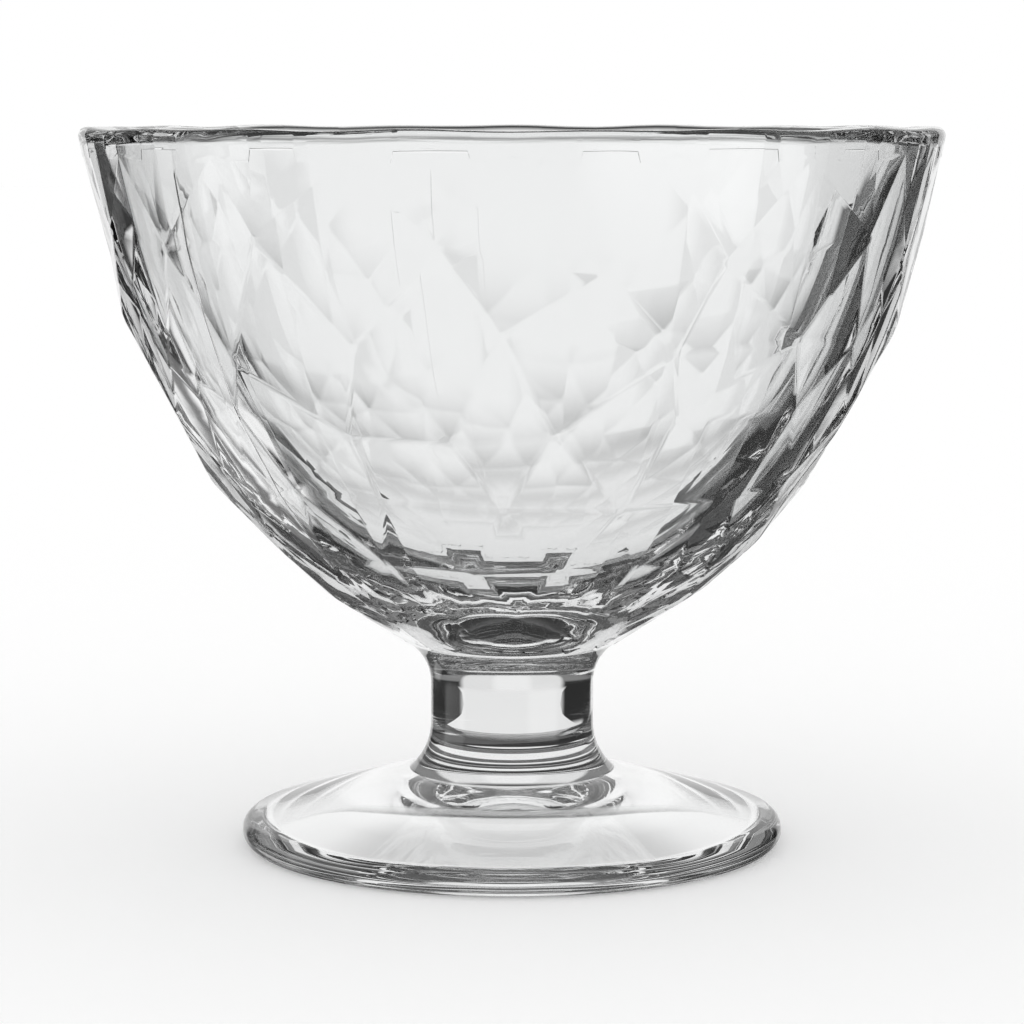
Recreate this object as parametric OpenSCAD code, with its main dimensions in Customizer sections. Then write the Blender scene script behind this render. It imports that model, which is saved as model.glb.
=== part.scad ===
// Footed dessert glass: a faceted bowl on a short solid stem and a round foot.
// Millimetres, +Z up. The origin is on the axis, on the surface that the foot stands on.

/* [Overall] */
// Outside diameter of the rim
rim_d = 119; // [108:1:130]
// Height from the table to the top of the rim
height = 100; // [90:1:115]

/* [Bowl] */
// Wall thickness just under the rim
wall_rim = 5.2; // [5:0.1:7]
// Wall thickness where the facets begin, above the stem
wall_base = 8; // [6:0.1:10]
// Height of the plain lip above the facets
lip_h = 2.8; // [2.4:0.1:4]
// Radius that rounds the outside of the lip
lip_round = 1; // [0.6:0.1:2]
// Radius that rounds the inside of the lip
lip_round_in = 2; // [1.5:0.1:3]
// Width of the plain collar between the stem's flare and the facets
collar_w = 1.7; // [1:0.1:3]
// Fullness of the bowl low down: share of its width and of its height
low_fullness = [0.164, 0.078];
// Fullness of the bowl high up: share of its width and of its height
high_fullness = [0.746, 0.219];

/* [Facets] */
// Facets around the bowl
facet_columns = 18; // [12:1:24]
// Rows of facets from the collar to the lip
facet_rows = 7; // [5:1:10]
// How far the facets' corners stand in or out of the bowl's curve
facet_depth = 0.5; // [0:0.1:0.8]
// How far the corners stray from an even grid, as a share of one facet
facet_stray = 0.22; // [0:0.02:0.3]

/* [Stem] */
// Diameter of the stem at its straight middle
stem_d = 22.8; // [18:0.2:28]
// Length of the stem from the foot to the bowl
stem_h = 16.6; // [13:0.2:28]
// Radius of the flare that carries the stem into the bowl
bowl_flare = 7; // [5:0.5:9]
// Radius of the flare that carries the stem into the foot
foot_flare = 9; // [5:0.5:9.5]

/* [Foot] */
// Diameter of the foot
foot_d = 76; // [66:1:90]
// Height of the foot where the stem stands on it
foot_h = 10.4; // [9.4:0.2:14]
// Thickness of the foot's rounded edge
foot_edge = 4.2; // [3:0.2:5.6]
// Width of the flat ring that the foot stands on
rest_ring_w = 2.5; // [2:0.5:6]
// Rise of the coned hollow under the foot
foot_hollow = 7.6; // [2:0.2:7.8]
// Radius of the hollow's round crown
hollow_round = 30; // [20:1:34]

/* [Hidden] */

$fn = 96;
glass = [0.86, 0.89, 0.90, 0.5];
rim_r = rim_d / 2;
stem_r = stem_d / 2;
foot_r = foot_d / 2;

// The flares are arcs that leave the stem upright. The bowl's flare turns out to the slope of the
// bowl's underside and is shared: the stem carries it as far as the joint, the collar the rest.
bowl_flare_turn = 60;
bowl_joint_turn = 40;
foot_joint_turn = 48;
bowl_joint_z = foot_h + stem_h;
bowl_flare_z = bowl_joint_z - bowl_flare * sin(bowl_joint_turn);
foot_flare_z = foot_h + foot_flare * sin(foot_joint_turn);
arc_steps = 8;

function bowl_flare_point(turn) =
    [stem_r + bowl_flare * (1 - cos(turn)), bowl_flare_z + bowl_flare * sin(turn)];
function foot_flare_point(turn) =
    [stem_r + foot_flare * (1 - cos(turn)), foot_flare_z - foot_flare * sin(turn)];
function arc_turns(from, to) = [for (s = [0 : arc_steps]) from + (to - from) * s / arc_steps];
function arc(centre, radius, from, to) =
    [for (a = arc_turns(from, to)) centre + radius * [cos(a), sin(a)]];

// The bowl's outside follows one cubic curve from the collar to the lip.
collar_end = bowl_flare_point(bowl_flare_turn) + collar_w * [sin(bowl_flare_turn), cos(bowl_flare_turn)];
lip_start = [rim_r, height - lip_h];
bowl_span = lip_start - collar_end;
low_handle = collar_end + [low_fullness.x * bowl_span.x, low_fullness.y * bowl_span.y];
high_handle = collar_end + [high_fullness.x * bowl_span.x, high_fullness.y * bowl_span.y];

function bowl_curve(t) =
    pow(1 - t, 3) * collar_end
    + 3 * pow(1 - t, 2) * t * low_handle
    + 3 * (1 - t) * pow(t, 2) * high_handle
    + pow(t, 3) * lip_start;
function bowl_slope(t) =
    pow(1 - t, 2) * (low_handle - collar_end)
    + 2 * (1 - t) * t * (high_handle - low_handle)
    + pow(t, 2) * (lip_start - high_handle);

// The inside keeps a wall's thickness from that curve, thick at the base and thin at the rim.
cavity_steps = 24;
floor_steps = 6;
function wall(t) = wall_rim + (wall_base - wall_rim) * pow(1 - t, 2);
function cavity_curve(t) =
    let (slope = bowl_slope(t) / norm(bowl_slope(t)))
    bowl_curve(t) + wall(t) * [-slope.y, slope.x];
floor_edge = cavity_curve(0);
floor_lean = cavity_curve(0.01) - floor_edge;
floor_angle = atan2(floor_lean.y, floor_lean.x);
floor_r = floor_edge.x / sin(floor_angle);
above_rim = height + 1;

// The lip's inner round leaves the inside's slope smoothly and ends level with the top.
lip_slope = bowl_slope(1) / norm(bowl_slope(1));
inside_end_z = height - lip_round_in * (1 - lip_slope.x);
inside_end_t = 1 - (cavity_curve(1).y - inside_end_z) / (3 * bowl_slope(1).y);
inside_end = cavity_curve(inside_end_t);
inner_round = (height - inside_end.y) / (1 - lip_slope.x);
inner_round_centre = inside_end + inner_round * [lip_slope.y, -lip_slope.x];

// Facet corners sit on rows that are close to even along the curve, each row half a facet round
// from the last, and every corner strays a little in angle, in height and in depth.
row_spread = 0.6;
facet_pitch = 360 / facet_columns;
lip_parts = 4;
lip_corners = facet_columns * lip_parts;
lip_rings = 4;
corner_proud = (1 / cos(facet_pitch / 2) - 1) / 2;

function stray(row, column, use) =
    let (mixed = 43758.5453 * sin(127.1 * row + 311.7 * (column % facet_columns) + 74.7 * use))
    2 * (mixed - floor(mixed)) - 1;
function row_place(row) = pow(row / facet_rows, row_spread);
function facet_corner(row, column) =
    let (
        free = row == 0 ? 0 : 1,
        on_curve = bowl_curve(row_place(row + free * facet_stray * stray(row, column, 1))),
        r = on_curve.x * (1 + corner_proud) + free * facet_depth * stray(row, column, 2),
        a = facet_pitch * (column + (row % 2) / 2 + free * facet_stray * stray(row, column, 3))
    )
    [r * cos(a), r * sin(a), on_curve.y];
function lip_ring_point(ring) =
    ring == 0
        ? lip_start
        : [rim_r, height] + lip_round * [cos(90 * (ring - 1) / (lip_rings - 1)) - 1,
                                         sin(90 * (ring - 1) / (lip_rings - 1)) - 1];
function lip_corner(ring, k) =
    let (p = lip_ring_point(ring), a = 360 * k / lip_corners)
    [p.x * cos(a), p.x * sin(a), p.y];

// Corner numbers in the list of points, and the facet corner nearest to each stretch of the lip
top_row = facet_rows - 1;
first_lip = facet_rows * facet_columns;
function corner_no(row, column) = row * facet_columns + (column + facet_columns) % facet_columns;
function lip_no(ring, k) = first_lip + ring * lip_corners + k % lip_corners;
function nearest_column(k) = round((k + 0.5) / lip_parts - (top_row % 2) / 2);

module faceted_body() {
    corners = [
        for (row = [0 : top_row], column = [0 : facet_columns - 1]) facet_corner(row, column),
        for (ring = [0 : lip_rings], k = [0 : lip_corners - 1]) lip_corner(ring, k)
    ];
    upright = [
        for (row = [0 : top_row - 1], column = [0 : facet_columns - 1])
            [corner_no(row, column), corner_no(row + 1, column + row % 2), corner_no(row, column + 1)]
    ];
    hanging = [
        for (row = [0 : top_row - 1], column = [0 : facet_columns - 1])
            [corner_no(row + 1, column), corner_no(row + 1, column + 1),
             corner_no(row, column + 1 - row % 2)]
    ];
    fans = [
        for (k = [0 : lip_corners - 1])
            [lip_no(0, k), lip_no(0, k + 1), corner_no(top_row, nearest_column(k))]
    ];
    gussets = [
        for (k = [0 : lip_corners - 1]) if (nearest_column(k) != nearest_column(k - 1))
            [corner_no(top_row, nearest_column(k - 1)), lip_no(0, k),
             corner_no(top_row, nearest_column(k))]
    ];
    lip_bands = [
        for (ring = [0 : lip_rings - 1], k = [0 : lip_corners - 1])
            [lip_no(ring, k), lip_no(ring + 1, k), lip_no(ring + 1, k + 1), lip_no(ring, k + 1)]
    ];
    underside = [for (column = [0 : facet_columns - 1]) corner_no(0, column)];
    top_face = [for (k = [lip_corners - 1 : -1 : 0]) lip_no(lip_rings, k)];
    polyhedron(
        points = corners,
        faces = concat([underside, top_face], upright, hanging, fans, gussets, lip_bands)
    );
}

// Round collar under the facets, from the joint with the stem, sunk a little into the faceted body
module collar() {
    sunk = collar_w / 2;
    rotate_extrude()
        polygon(concat(
            [[0, bowl_joint_z]],
            [for (turn = arc_turns(bowl_joint_turn, bowl_flare_turn)) bowl_flare_point(turn)],
            [collar_end, collar_end + [-collar_w, sunk], [0, collar_end.y + sunk]]
        ));
}

// Smooth inside of the bowl, with a gently dished floor and the lip's inner round
module cavity() {
    rotate_extrude()
        polygon(concat(
            [for (s = [0 : floor_steps - 1]) let (a = floor_angle * s / floor_steps)
                [floor_r * sin(a), floor_edge.y + floor_r * (cos(floor_angle) - cos(a))]],
            [for (s = [0 : cavity_steps - 1]) cavity_curve(inside_end_t * s / cavity_steps)],
            arc(inner_round_centre, inner_round, 180 - asin(lip_slope.x), 90),
            [[inner_round_centre.x, above_rim], [0, above_rim]]
        ));
}

module bowl() {
    color(glass)
        difference() {
            union() {
                faceted_body();
                collar();
            }
            cavity();
        }
}

// Solid stem: a short post, flared at both ends
module stem() {
    color(glass)
        rotate_extrude()
            polygon(concat(
                [[0, foot_h]],
                [for (turn = arc_turns(foot_joint_turn, 0)) foot_flare_point(turn)],
                [for (turn = arc_turns(0, bowl_joint_turn)) bowl_flare_point(turn)],
                [[0, bowl_joint_z]]
            ));
}

// Foot: a low cone with a full round edge, a flat ring to stand on and a coned hollow inside it
module foot() {
    edge_r = foot_edge / 2;
    edge_centre = [foot_r - edge_r, edge_r];
    pad_r = foot_flare_point(foot_joint_turn).x;
    edge_top_turn = 90 - atan2(foot_h - foot_edge, edge_centre.x - pad_r);
    hollow_r = edge_centre.x - rest_ring_w;
    crown_sunk = hollow_round - foot_hollow;
    hollow_slope = asin(hollow_round / norm([hollow_r, crown_sunk])) - atan2(crown_sunk, hollow_r);
    color(glass)
        rotate_extrude()
            polygon(concat(
                arc([0, -crown_sunk], hollow_round, 90, 90 - hollow_slope),
                [[hollow_r, 0]],
                arc(edge_centre, edge_r, -90, edge_top_turn),
                [[pad_r, foot_h], [0, foot_h]]
            ));
}

bowl();
stem();
foot();
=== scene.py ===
import math

import bmesh
import bpy
import numpy as np
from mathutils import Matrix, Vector


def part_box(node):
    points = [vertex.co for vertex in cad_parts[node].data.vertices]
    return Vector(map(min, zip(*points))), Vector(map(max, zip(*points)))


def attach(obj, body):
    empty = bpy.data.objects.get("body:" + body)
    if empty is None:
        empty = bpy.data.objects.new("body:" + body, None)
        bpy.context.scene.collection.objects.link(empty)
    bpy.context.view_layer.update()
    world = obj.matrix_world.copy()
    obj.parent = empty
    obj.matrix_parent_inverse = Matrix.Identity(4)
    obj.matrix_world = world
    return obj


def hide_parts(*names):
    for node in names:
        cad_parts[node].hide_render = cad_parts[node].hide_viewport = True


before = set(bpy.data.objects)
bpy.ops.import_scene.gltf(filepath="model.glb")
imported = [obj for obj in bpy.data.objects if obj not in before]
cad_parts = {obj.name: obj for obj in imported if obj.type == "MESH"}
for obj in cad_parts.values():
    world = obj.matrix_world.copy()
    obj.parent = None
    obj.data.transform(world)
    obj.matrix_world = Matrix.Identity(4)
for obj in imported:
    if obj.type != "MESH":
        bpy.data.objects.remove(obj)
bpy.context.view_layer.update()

# Foot
# The round foot is pressed soda-lime glass: a low cone with a full round edge, standing on a flat
# ring with a domed hollow inside it. Its top is fused flat to the stem while both are soft.
MM = 0.001
ROUND = np.linspace(0, 2 * math.pi, num=288, endpoint=False)
FOOT_EDGE = 4.2
REST_RING_W = 2.5
FOOT_HOLLOW = 6.2
HOLLOW_ROUND = 88
SHARP_TURN = 40
GLASS_IOR = 1.52
TINT_DEEP = (0.985, 0.99, 0.99, 1)
TINT_PALE = (0.995, 1.0, 1.0, 1)
CLOUD_SCALE = 45.0
CLOUD_DETAIL = 4.0
RIPPLE_DETAIL = 1.0


def arc(centre, radius, start, end, steps):
    """Points along a circular arc in the (radius, height) plane, angles in degrees."""
    turns = np.radians(np.linspace(start, end, steps + 1))
    return [np.array(centre) + radius * np.array([math.cos(a), math.sin(a)]) for a in turns]


def line(start, end, steps):
    """Evenly spaced points after the start and up to the end."""
    start, end = np.array(start), np.array(end)
    return [start + (end - start) * step / steps for step in range(1, steps + 1)]


def ring(skin, turns, radius, height):
    """One ring of points round the axis; radius and height are single or one for each turn."""
    count = len(turns)
    return [skin.verts.new((r * math.cos(a), r * math.sin(a), h))
            for a, r, h in zip(turns, np.broadcast_to(radius, count), np.broadcast_to(height, count))]


def band(skin, lower, upper):
    """Faces between two rings of the same number of points."""
    for i in range(len(lower)):
        skin.faces.new((lower[i - 1], lower[i], upper[i], upper[i - 1]))


def turned(skin, turns, profile, edge):
    """Bands through a (radius, height) profile, carried on from an edge ring; returns the last ring."""
    for radius, height in profile:
        following = ring(skin, turns, radius, height)
        band(skin, edge, following)
        edge = following
    return edge


def cap(skin, edge, height, fused=False):
    """Faces that close a ring on the axis; a fused cap meets the next piece of glass."""
    middle = skin.verts.new((0, 0, height))
    for i in range(len(edge)):
        face = skin.faces.new((edge[i - 1], edge[i], middle))
        face.material_index = 1 if fused else 0


def pressed_skin_group():
    """Shader group for the faint marks of pressing: tint, haze and a slow ripple of the surface."""
    group = bpy.data.node_groups.new("pressed_skin", "ShaderNodeTree")
    face = group.interface
    face.new_socket("Ripple Scale", in_out="INPUT", socket_type="NodeSocketFloat")
    face.new_socket("Haze", in_out="INPUT", socket_type="NodeSocketFloat")
    face.new_socket("Clearness", in_out="INPUT", socket_type="NodeSocketFloat")
    face.new_socket("Tint", in_out="OUTPUT", socket_type="NodeSocketColor")
    face.new_socket("Roughness", in_out="OUTPUT", socket_type="NodeSocketFloat")
    face.new_socket("Height", in_out="OUTPUT", socket_type="NodeSocketFloat")
    nodes, links = group.nodes, group.links
    given = nodes.new("NodeGroupInput")
    made = nodes.new("NodeGroupOutput")
    place = nodes.new("ShaderNodeTexCoord")

    ripple = nodes.new("ShaderNodeTexNoise")
    ripple.inputs["Detail"].default_value = RIPPLE_DETAIL
    links.new(place.outputs["Object"], ripple.inputs["Vector"])
    links.new(given.outputs["Ripple Scale"], ripple.inputs["Scale"])
    links.new(ripple.outputs["Fac"], made.inputs["Height"])

    cloud = nodes.new("ShaderNodeTexNoise")
    cloud.inputs["Scale"].default_value = CLOUD_SCALE
    cloud.inputs["Detail"].default_value = CLOUD_DETAIL
    links.new(place.outputs["Object"], cloud.inputs["Vector"])
    tint = nodes.new("ShaderNodeValToRGB")
    tint.color_ramp.elements[0].color = TINT_DEEP
    tint.color_ramp.elements[1].color = TINT_PALE
    links.new(cloud.outputs["Fac"], tint.inputs["Fac"])
    cleared = nodes.new("ShaderNodeVectorMath")
    cleared.operation = "SCALE"
    links.new(tint.outputs["Color"], cleared.inputs["Vector"])
    links.new(given.outputs["Clearness"], cleared.inputs["Scale"])
    links.new(cleared.outputs["Vector"], made.inputs["Tint"])

    haze = nodes.new("ShaderNodeMath")
    haze.operation = "MULTIPLY"
    links.new(cloud.outputs["Fac"], haze.inputs[0])
    links.new(given.outputs["Haze"], haze.inputs[1])
    links.new(haze.outputs[0], made.inputs["Roughness"])
    return group


PRESSED_SKIN = pressed_skin_group()


def clear_glass(name, ripple_scale, ripple_depth, haze, clearness):
    """Clear soda-lime glass whose skin keeps a little of the mould's ripple, its depth in millimetres."""
    material = bpy.data.materials.new(name)
    material.use_nodes = True
    nodes, links = material.node_tree.nodes, material.node_tree.links
    glass = nodes["Principled BSDF"]
    glass.inputs["Transmission Weight"].default_value = 1.0
    glass.inputs["IOR"].default_value = GLASS_IOR
    skin = nodes.new("ShaderNodeGroup")
    skin.node_tree = PRESSED_SKIN
    skin.inputs["Ripple Scale"].default_value = ripple_scale
    skin.inputs["Haze"].default_value = haze
    skin.inputs["Clearness"].default_value = clearness
    bump = nodes.new("ShaderNodeBump")
    bump.inputs["Strength"].default_value = 1.0
    bump.inputs["Distance"].default_value = ripple_depth * MM
    links.new(skin.outputs["Tint"], glass.inputs["Base Color"])
    links.new(skin.outputs["Roughness"], glass.inputs["Roughness"])
    links.new(skin.outputs["Height"], bump.inputs["Height"])
    links.new(bump.outputs["Normal"], glass.inputs["Normal"])
    return material


def fused_joint():
    """The face where two pieces are melted together: glass runs on through it, so it can't be seen."""
    material = bpy.data.materials.new("fused_joint")
    material.use_nodes = True
    material.node_tree.nodes["Principled BSDF"].inputs["Alpha"].default_value = 0.0
    return material


FUSED_JOINT = fused_joint()


def glass_piece(name, skin, glass):
    """Object made of a closed skin drawn in millimetres, flats kept flat and rounds kept smooth."""
    bmesh.ops.recalc_face_normals(skin, faces=skin.faces)
    bmesh.ops.scale(skin, vec=(MM, MM, MM), verts=skin.verts)
    mesh = bpy.data.meshes.new(name)
    skin.to_mesh(mesh)
    skin.free()
    mesh.shade_smooth()
    mesh.set_sharp_from_angle(angle=math.radians(SHARP_TURN))
    mesh.materials.append(glass)
    mesh.materials.append(FUSED_JOINT)
    piece = bpy.data.objects.new(name, mesh)
    bpy.context.scene.collection.objects.link(piece)
    flat_faces = piece.modifiers.new("flat_faces", "WEIGHTED_NORMAL")
    flat_faces.keep_sharp = True
    return piece


foot_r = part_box("foot")[1][0] / MM
foot_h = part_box("foot")[1][2] / MM
pad_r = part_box("stem")[1][0] / MM
edge_r = FOOT_EDGE / 2
edge_centre = (foot_r - edge_r, edge_r)
edge_top_turn = 90 - math.degrees(math.atan2(foot_h - FOOT_EDGE, edge_centre[0] - pad_r))
hollow_r = edge_centre[0] - REST_RING_W
crown_sunk = HOLLOW_ROUND - FOOT_HOLLOW
crown_reach = math.hypot(hollow_r, crown_sunk)
hollow_slope = math.degrees(math.asin(HOLLOW_ROUND / crown_reach) - math.atan2(crown_sunk, hollow_r))
hollow_crown = arc((0, -crown_sunk), HOLLOW_ROUND, 90, 90 - hollow_slope, steps=12)[1:]
round_edge = arc(edge_centre, edge_r, -90, edge_top_turn, steps=24)
foot_profile = hollow_crown[1:] + line(hollow_crown[-1], (hollow_r, 0), steps=8)
foot_profile += line((hollow_r, 0), round_edge[0], steps=3) + round_edge[1:]
foot_profile += line(round_edge[-1], (pad_r, foot_h), steps=12)

skin = bmesh.new()
hollow_middle = ring(skin, ROUND, *hollow_crown[0])
cap(skin, hollow_middle, FOOT_HOLLOW)
cap(skin, turned(skin, ROUND, foot_profile, hollow_middle), foot_h, fused=True)
foot_glass = clear_glass("foot_glass", ripple_scale=60.0, ripple_depth=0.05, haze=0.01, clearness=0.96)
foot = glass_piece("foot_glass", skin, foot_glass)
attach(foot, "root")
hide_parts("foot")

# Stem
# A short solid post of the same glass, flared at both ends. Its foot end and its bowl end are melted
# flat on to their neighbours, so light passes from one piece into the next.
STEM_R = 11.4
BOWL_FLARE = 7
FOOT_FLARE = 9
BOWL_JOINT_TURN = 40
FOOT_JOINT_TURN = 48

stem_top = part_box("stem")[1][2] / MM
bowl_flare_z = stem_top - BOWL_FLARE * math.sin(math.radians(BOWL_JOINT_TURN))
foot_flare_z = foot_h + FOOT_FLARE * math.sin(math.radians(FOOT_JOINT_TURN))
foot_flare = arc((STEM_R + FOOT_FLARE, foot_flare_z), FOOT_FLARE, 180 + FOOT_JOINT_TURN, 180, steps=20)
bowl_flare = arc((STEM_R + BOWL_FLARE, bowl_flare_z), BOWL_FLARE, 180, 180 - BOWL_JOINT_TURN, steps=16)

skin = bmesh.new()
stem_foot = ring(skin, ROUND, *foot_flare[0])
cap(skin, stem_foot, foot_h, fused=True)
stem_profile = foot_flare[1:] + line(foot_flare[-1], bowl_flare[0], steps=4) + bowl_flare[1:]
cap(skin, turned(skin, ROUND, stem_profile, stem_foot), stem_top, fused=True)
stem_glass = clear_glass("stem_glass", ripple_scale=70.0, ripple_depth=0.03, haze=0.005, clearness=0.9)
stem = glass_piece("stem_glass", skin, stem_glass)
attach(stem, "root")
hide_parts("stem")

# Bowl
# The bowl is pressed between a smooth plunger and a mould cut with irregular flats, so it is smooth
# inside and faceted outside. The lip is then fire-polished, which rounds it and softens every edge.
WALL_RIM = 5.2
WALL_BASE = 8
LIP_H = 2.8
LIP_ROUND = 1
LIP_ROUND_IN = 2
SHOULDER_TURN = 45
COLLAR_W = 1.7
BOWL_FLARE_TURN = 60
LOW_FULLNESS = np.array([0.164, 0.078])
HIGH_FULLNESS = np.array([0.746, 0.219])
SLOPE_STEP = 0.01
FACET_COLUMNS = 18
FACET_ROWS = 7
FACET_DEPTH = 0.5
FACET_STRAY = 0.22
STRAY_TURNS = (127.1, 311.7, 74.7)
STRAY_SPREAD = 43758.5453
ROW_SPREAD = 0.6
EDGE_SOFTNESS = 0.5
EDGE_STEPS = 3
COLLAR_STEPS = 4
LIP_LEDGE = 0.06
TAB_DROP = 1.2
TAB_RISE = 1.3
TAB_HALF = 0.2
TAB_STEP = 0.02
TAB_STRAY_ROW = 20
TAB_STRAY_PLACE = 0.12
TAB_STRAY_WIDTH = 0.25
TAB_STRAY_RISE = 0.15
RIM_WAVE = 0.22
RIM_WAVES = ((17, 0.6, 0.5), (11, 2.0, 0.35))
SEAM_TURNS = (-137, -17, 103)
SEAM_W = 0.4
SEAM_H = 0.1
TOUCHING = 1e-4
SORT_LINE = Vector((0.31, 0.53, 0.79))

rim_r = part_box("bowl")[1][0] / MM
rim_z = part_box("bowl")[1][2] / MM
facet_pitch = 2 * math.pi / FACET_COLUMNS
corner_proud = (1 / math.cos(facet_pitch / 2) - 1) / 2


def bowl_flare_point(turn):
    """Point of the flare that the stem begins and the collar carries on, turn in degrees."""
    turn = math.radians(turn)
    return np.array([STEM_R + BOWL_FLARE * (1 - math.cos(turn)),
                     bowl_flare_z + BOWL_FLARE * math.sin(turn)])


under_turn = math.radians(BOWL_FLARE_TURN)
collar_lean = np.array([math.sin(under_turn), math.cos(under_turn)])
collar_end = bowl_flare_point(BOWL_FLARE_TURN) + COLLAR_W * collar_lean
lip_start = np.array([rim_r, rim_z - LIP_H])
low_handle = collar_end + LOW_FULLNESS * (lip_start - collar_end)
high_handle = collar_end + HIGH_FULLNESS * (lip_start - collar_end)


def bowl_curve(t):
    """Outline of the bowl, (radius, height), from the collar at t = 0 to the lip at t = 1."""
    return ((1 - t) ** 3 * collar_end + 3 * (1 - t) ** 2 * t * low_handle
            + 3 * (1 - t) * t ** 2 * high_handle + t ** 3 * lip_start)


def bowl_slope(t):
    """Direction of that outline, as a unit vector."""
    slope = ((1 - t) ** 2 * (low_handle - collar_end) + 2 * (1 - t) * t * (high_handle - low_handle)
             + t ** 2 * (lip_start - high_handle))
    return slope / np.linalg.norm(slope)


def cavity_curve(t):
    """Inside of the bowl: the outline moved in by the wall, which thickens towards the base."""
    slope = bowl_slope(t)
    wall = WALL_RIM + (WALL_BASE - WALL_RIM) * (1 - t) ** 2
    return bowl_curve(t) + wall * np.array([-slope[1], slope[0]])


# The floor is a shallow dish that carries on the inside's slope, and the lip's inner round starts where
# the inside comes near enough to the rim.
floor_edge = cavity_curve(0)
floor_lean = cavity_curve(SLOPE_STEP) - floor_edge
floor_angle = math.atan2(floor_lean[1], floor_lean[0])
floor_r = floor_edge[0] / math.sin(floor_angle)
floor_z = floor_edge[1] - floor_r * (1 - math.cos(floor_angle))
lip_slope = bowl_slope(1)
lip_lean = math.degrees(math.asin(lip_slope[0]))
inside_top_z = rim_z - LIP_ROUND_IN * (1 - lip_slope[0])
inside_top_t = 1 - (cavity_curve(1)[1] - inside_top_z) / (3 * (lip_start - high_handle)[1])
inside_top = cavity_curve(inside_top_t)
inner_round = (rim_z - inside_top[1]) / (1 - lip_slope[0])
inner_round_centre = inside_top + inner_round * np.array([lip_slope[1], -lip_slope[0]])


def stray(row, column, use):
    """A fixed irregular number from -1 to 1 for one facet corner."""
    row_turn, column_turn, use_turn = STRAY_TURNS
    angle = math.radians(row_turn * row + column_turn * (column % FACET_COLUMNS) + use_turn * use)
    mixed = STRAY_SPREAD * math.sin(angle)
    return 2 * (mixed - math.floor(mixed)) - 1


def facet_corner(row, column):
    """Corner of a flat: rows are near even up the outline, each half a facet round from the last."""
    t = ((row + FACET_STRAY * stray(row, column, 1)) / FACET_ROWS) ** ROW_SPREAD
    radius, height = bowl_curve(t)
    radius = radius * (1 + corner_proud) + FACET_DEPTH * stray(row, column, 2)
    angle = facet_pitch * (column + (row % 2) / 2 + FACET_STRAY * stray(row, column, 3))
    return (radius * math.cos(angle), radius * math.sin(angle), height)


def lip_radius(height):
    """Outside of the lip: it keeps the bowl's lean, then rounds over towards the top."""
    above_round = np.clip(height - (rim_z - LIP_ROUND), 0, LIP_ROUND)
    below_round = np.clip(rim_z - LIP_ROUND - height, 0, None)
    leant_in = below_round * lip_slope[0] / lip_slope[1]
    return rim_r - LIP_ROUND + np.sqrt(LIP_ROUND ** 2 - above_round ** 2) - leant_in


def lip_line():
    """Turns and heights of the line where the flats run out: a flat-topped tab above each corner."""
    turns, heights = [], []
    for column in range(FACET_COLUMNS):
        middle = 0.5 + TAB_STRAY_PLACE * stray(TAB_STRAY_ROW, column, 1)
        half = TAB_HALF * (1 + TAB_STRAY_WIDTH * stray(TAB_STRAY_ROW, column, 2))
        rise = TAB_RISE * (1 + TAB_STRAY_RISE * stray(TAB_STRAY_ROW, column, 3))
        left, right = middle - half, middle + half
        for share, up in ((0, 0), (left / 2, 0), (left - TAB_STEP, 0), (left, 1), (middle, 1), (right, 1),
                          (right + TAB_STEP, 0), ((1 + right) / 2, 0)):
            turns.append(facet_pitch * (column + share - 0.5))
            heights.append(lip_start[1] - TAB_DROP + up * rise)
    return np.array(turns), np.array(heights)


def fan_band(skin, corners, edge, edge_turns, row):
    """Faces between a row of facet corners and a ring: a fan at each corner and a flat between two fans.

    Returns the edges round those flats.
    """
    def nearest(k):
        turn = (edge_turns[k % len(edge)] + edge_turns[(k + 1) % len(edge)]) / 2
        if k % len(edge) == len(edge) - 1:
            turn += math.pi
        return math.floor(turn / facet_pitch - (row % 2) / 2 + 0.5) % FACET_COLUMNS

    outlines = []
    for k in range(len(edge)):
        skin.faces.new((edge[k], edge[(k + 1) % len(edge)], corners[nearest(k)]))
        if nearest(k) != nearest(k - 1):
            flat = skin.faces.new((corners[nearest(k - 1)], edge[k], corners[nearest(k)]))
            outlines.extend(flat.edges)
    return outlines


def flats(skin):
    """The faceted outside from the collar ring up to the lip line, with every edge rounded over."""
    collar_turns = np.linspace(0, 2 * math.pi, FACET_COLUMNS * COLLAR_STEPS, endpoint=False)
    rows = {row: [skin.verts.new(facet_corner(row, column)) for column in range(FACET_COLUMNS)]
            for row in range(1, FACET_ROWS)}
    for row in range(1, FACET_ROWS - 1):
        low, high, shift = rows[row], rows[row + 1], row % 2
        for column in range(FACET_COLUMNS):
            beside = (column + 1) % FACET_COLUMNS
            skin.faces.new((low[column], low[beside], high[beside if shift else column]))
            skin.faces.new((high[beside], high[column], low[column if shift else beside]))
    rounded = set(skin.edges)
    rounded.update(fan_band(skin, rows[1], ring(skin, collar_turns, *collar_end), collar_turns, 1))
    lip_turns, lip_heights = lip_line()
    lip_ring = ring(skin, lip_turns, lip_radius(lip_heights) - LIP_LEDGE, lip_heights)
    rounded.update(fan_band(skin, rows[FACET_ROWS - 1], lip_ring, lip_turns, FACET_ROWS - 1))
    bmesh.ops.recalc_face_normals(skin, faces=skin.faces)
    bmesh.ops.bevel(skin, geom=list(rounded), offset=EDGE_SOFTNESS, offset_type="OFFSET",
                    segments=EDGE_STEPS, profile=0.5, affect="EDGES", clamp_overlap=False)


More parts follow.
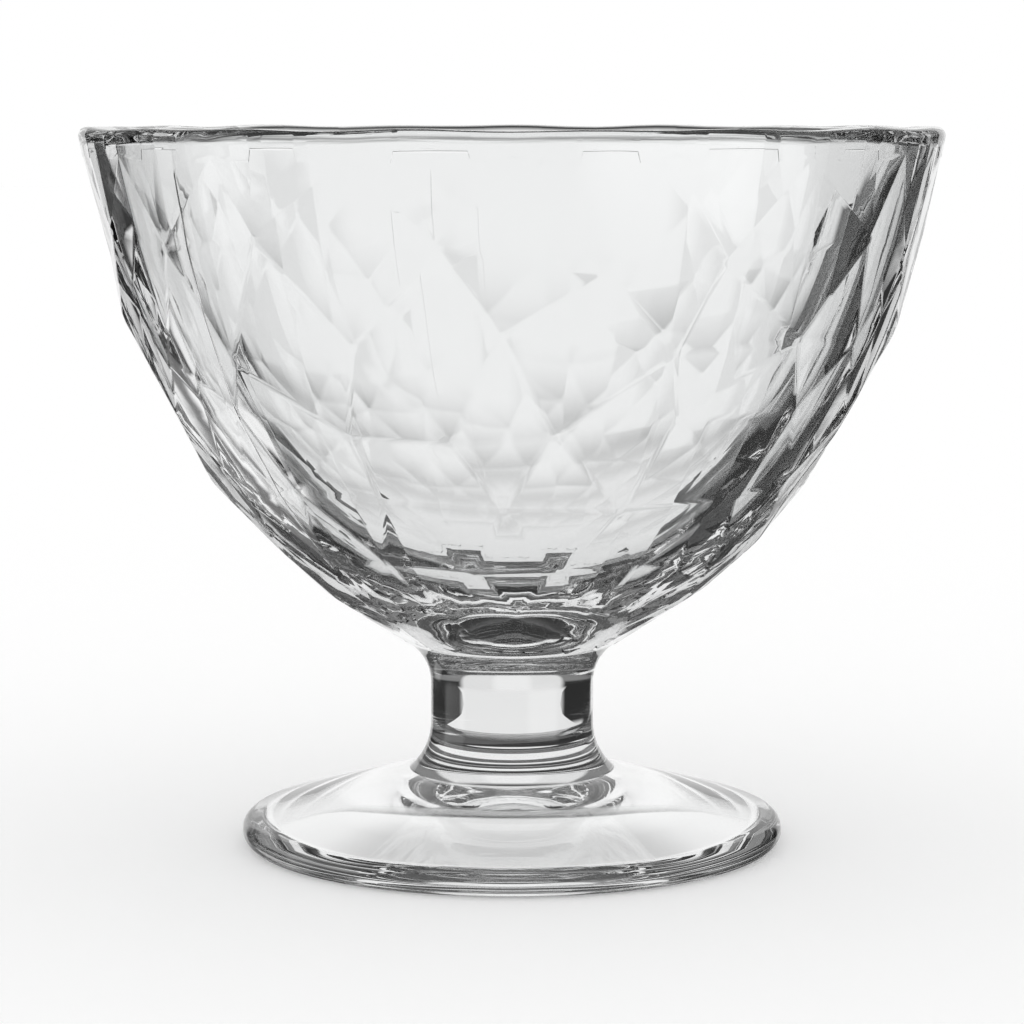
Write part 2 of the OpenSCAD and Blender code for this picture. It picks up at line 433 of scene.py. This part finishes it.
def mould_seam(skin, turn):
    """Fine raised line up the flats, where two parts of the mould meet; turn in degrees round the axis."""
    outward = Vector((math.cos(math.radians(turn)), math.sin(math.radians(turn)), 0))
    across = Vector((-outward.y, outward.x, 0))
    for offset in (-SEAM_W / 2, 0, SEAM_W / 2):
        near = [face for face in skin.faces if face.calc_center_median().dot(outward) > 0]
        cut = near + list({e for f in near for e in f.edges}) + list({v for f in near for v in f.verts})
        bmesh.ops.bisect_plane(skin, geom=cut, dist=TOUCHING / 10,
                               plane_co=across * offset, plane_no=across)
    for v in skin.verts:
        if abs(v.co.dot(across)) < TOUCHING and v.co.dot(outward) > 0 and not v.is_boundary:
            v.co += outward * SEAM_H


def settle_order(skin):
    """Put the points, edges and faces that rounding and cutting leave in one order, the same every run."""
    skin.verts.sort(key=lambda v: v.co.dot(SORT_LINE))
    skin.edges.sort(key=lambda e: (e.verts[0].co + e.verts[1].co).dot(SORT_LINE))
    skin.faces.sort(key=lambda f: f.calc_center_median().dot(SORT_LINE))


def open_edge(skin, above):
    """The points of the open edge above or below mid-height, in order round the axis."""
    middle = (collar_end[1] + lip_start[1]) / 2
    points = {v for e in skin.edges if e.is_boundary for v in e.verts if (v.co.z > middle) == above}
    return sorted(points, key=lambda v: math.atan2(v.co.y, v.co.x))


def lip_and_inside(skin):
    """Round lip on top of the flats, then the smooth inside down to the middle of the bowl's floor."""
    edge = open_edge(skin, above=True)
    turns = np.array([math.atan2(v.co.y, v.co.x) for v in edge])
    start = np.array([v.co.z for v in edge])
    wave = RIM_WAVE * sum(share * np.sin(count * turns + begin) for count, begin, share in RIM_WAVES)
    shoulder = rim_z - LIP_ROUND * (1 - math.sin(math.radians(SHOULDER_TURN)))
    for share in np.linspace(0, 1, num=6):
        height = start + LIP_LEDGE + share * (shoulder - start - LIP_LEDGE)
        following = ring(skin, turns, lip_radius(height), height + share * wave)
        band(skin, edge, following)
        edge = following
    top = arc((rim_r - LIP_ROUND, rim_z - LIP_ROUND), LIP_ROUND, SHOULDER_TURN, 90, steps=5)[1:]
    top += arc(inner_round_centre, inner_round, 90, 180 - lip_lean, steps=14)
    for radius, height in top:
        waved = wave * np.clip((height - rim_z + inner_round) / inner_round, 0, 1)
        following = ring(skin, turns, radius, height + waved)
        band(skin, edge, following)
        edge = following
    inside = [cavity_curve(t) for t in np.linspace(inside_top_t, 0, num=60)[1:]]
    inside += arc((0, floor_z + floor_r), floor_r, -90 + math.degrees(floor_angle), -90, steps=16)[1:-1]
    cap(skin, turned(skin, turns, inside, edge), floor_z)


def collar(skin):
    """Plain round collar from the flats down to the joint with the stem."""
    edge = open_edge(skin, above=False)
    turns = [math.atan2(v.co.y, v.co.x) for v in edge]
    flare = [bowl_flare_point(turn) for turn in np.linspace(BOWL_FLARE_TURN, BOWL_JOINT_TURN, num=12)]
    profile = line(collar_end, flare[0], steps=4) + flare[1:]
    cap(skin, turned(skin, turns, profile, edge), stem_top, fused=True)


skin = bmesh.new()
flats(skin)
for turn in SEAM_TURNS:
    mould_seam(skin, turn)
settle_order(skin)
lip_and_inside(skin)
collar(skin)
bowl_glass = clear_glass("bowl_glass", ripple_scale=55.0, ripple_depth=0.03, haze=0.01, clearness=1.0)
bowl = glass_piece("bowl_glass", skin, bowl_glass)
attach(bowl, "root")
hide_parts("bowl")

# Table, light and camera
# The glass stands on a white table top, with a white card laid behind it. The glass alone sees the card
# and the soft bright panels of a dim studio: it bends the dimness between them into its dark edges.
TABLE_R = 4000.0
CAMERA_BACK = 476.9
CAMERA_UP = 103.0
CAMERA_PITCH = 6.755
LENS = 120.7
CARD_SIDE = [(28.0, 41.0), (45.0, 105.0), (140.0, 240.0)]
CARD_FADE = (240.0, 120.0)
CARD_UP = 0.1
CARD_LEVEL = 0.95
# Each panel has its heading from straight behind the glass, its half-width full and gone, its lower edge
# gone and full, its upper edge full and gone, all in degrees, and its level.
PANELS = {
    "back": (0, (6, 26), (-30, -5), (30, 42), 1.0),
    "back_wide": (0, (25, 31), (-24, -9), (30, 42), 0.88),
    "left": (-90, (14, 24), (-28, -10), (16, 28), 1.0),
    "front_right": (135, (16, 28), (-40, -14), (0, 8), 1.0),
    "floor_left": (-45, (5, 13), (-44, -34), (-20, -14), 0.95),
    "floor_front": (150, (95, 110), (-91, -90), (-34, -24), 0.12),
    "walls": (0, (180, 181), (0, 8), (30, 42), 0.26),
    "ceiling": (0, (180, 181), (30, 42), (90, 91), 0.1),
}
DARK_LEVEL = 0.03
GLASS_BOUNCES = 24
GLOSSY_BOUNCES = 16


def white_table():
    """Matt white table top, which keeps the glass's shadow."""
    material = bpy.data.materials.new("white_table")
    material.use_nodes = True
    paint = material.node_tree.nodes["Principled BSDF"]
    paint.inputs["Base Color"].default_value = (1, 1, 1, 1)
    paint.inputs["Roughness"].default_value = 1.0
    paint.inputs["Specular IOR Level"].default_value = 0.0
    return material


def white_card():
    """Evenly bright white card that fades away towards its far end."""
    material = bpy.data.materials.new("white_card")
    material.use_nodes = True
    nodes, links = material.node_tree.nodes, material.node_tree.links
    paper = nodes["Principled BSDF"]
    paper.inputs["Base Color"].default_value = (0, 0, 0, 1)
    paper.inputs["Specular IOR Level"].default_value = 0.0
    paper.inputs["Emission Color"].default_value = (1, 1, 1, 1)
    paper.inputs["Emission Strength"].default_value = CARD_LEVEL
    place = nodes.new("ShaderNodeSeparateXYZ")
    links.new(nodes.new("ShaderNodeTexCoord").outputs["Object"], place.inputs[0])
    fade = nodes.new("ShaderNodeMapRange")
    fade.interpolation_type = "SMOOTHSTEP"
    links.new(place.outputs["Y"], fade.inputs["Value"])
    fade.inputs["From Min"].default_value = CARD_FADE[0] * MM
    fade.inputs["From Max"].default_value = CARD_FADE[1] * MM
    links.new(fade.outputs["Result"], paper.inputs["Alpha"])
    return material


def flat_sheet(name, outline, height, material):
    """One flat face inside an outline of (x, y) points, all in millimetres."""
    mesh = bpy.data.meshes.new(name)
    mesh.from_pydata([(x * MM, y * MM, height * MM) for x, y in outline], [], [range(len(outline))])
    mesh.materials.append(material)
    sheet = bpy.data.objects.new(name, mesh)
    bpy.context.scene.collection.objects.link(sheet)
    return sheet


table_outline = [(TABLE_R * math.cos(a), TABLE_R * math.sin(a)) for a in ROUND]
table = flat_sheet("table", table_outline, 0, white_table())
table.visible_transmission = False
table.visible_glossy = False

card_outline = CARD_SIDE + [(-half, reach) for half, reach in reversed(CARD_SIDE)]
card = flat_sheet("card", card_outline, CARD_UP, white_card())
card.visible_camera = False
card.visible_diffuse = False
card.visible_shadow = False

world = bpy.data.worlds.new("studio")
bpy.context.scene.world = world
world.use_nodes = True
nodes, links = world.node_tree.nodes, world.node_tree.links


def maths(operation, *values):
    """Output of a math node fed by numbers or by other nodes' outputs."""
    node = nodes.new("ShaderNodeMath")
    node.operation = operation
    for socket, value in zip(node.inputs, values):
        if isinstance(value, bpy.types.NodeSocket):
            links.new(value, socket)
        else:
            socket.default_value = value
    return node.outputs[0]


def ramp(value, gone, full):
    """0 at the angle where a panel is gone and 1 where it is full, in degrees, smooth between them."""
    node = nodes.new("ShaderNodeMapRange")
    node.interpolation_type = "SMOOTHSTEP"
    links.new(value, node.inputs["Value"])
    node.inputs["From Min"].default_value = math.radians(gone)
    node.inputs["From Max"].default_value = math.radians(full)
    return node.outputs["Result"]


toward = nodes.new("ShaderNodeSeparateXYZ")
links.new(nodes.new("ShaderNodeTexCoord").outputs["Generated"], toward.inputs[0])
heading = maths("ARCTAN2", toward.outputs["X"], toward.outputs["Y"])
rise = maths("ARCSINE", toward.outputs["Z"])
level = DARK_LEVEL
for centre, half_width, low, high, strength in PANELS.values():
    aside = maths("WRAP", maths("SUBTRACT", heading, math.radians(centre)), math.pi, -math.pi)
    across = ramp(maths("ABSOLUTE", aside), half_width[1], half_width[0])
    upward = maths("MULTIPLY", ramp(rise, *low), ramp(rise, high[1], high[0]))
    level = maths("MAXIMUM", level, maths("MULTIPLY", maths("MULTIPLY", across, upward), strength))

# The camera and the table see plain white; only what the glass bends or mirrors sees the panels.
path = nodes.new("ShaderNodeLightPath")
through_glass = maths("MAXIMUM", path.outputs["Is Glossy Ray"], path.outputs["Is Transmission Ray"])
through_glass = maths("MULTIPLY", through_glass, maths("LESS_THAN", path.outputs["Diffuse Depth"], 0.5))
shade = maths("MULTIPLY_ADD", through_glass, maths("SUBTRACT", level, 1.0), 1.0)
links.new(shade, nodes["Background"].inputs["Strength"])
nodes["Background"].inputs["Color"].default_value = (1, 1, 1, 1)

camera_data = bpy.data.cameras.new("camera")
camera_data.lens = LENS
camera = bpy.data.objects.new("camera", camera_data)
camera.location = (0, -CAMERA_BACK * MM, CAMERA_UP * MM)
camera.rotation_euler = (math.radians(90 - CAMERA_PITCH), 0, 0)
bpy.context.scene.collection.objects.link(camera)
bpy.context.scene.camera = camera

bpy.context.scene.view_settings.view_transform = "Standard"
bpy.context.scene.cycles.max_bounces = GLASS_BOUNCES
bpy.context.scene.cycles.transmission_bounces = GLASS_BOUNCES
bpy.context.scene.cycles.glossy_bounces = GLOSSY_BOUNCES
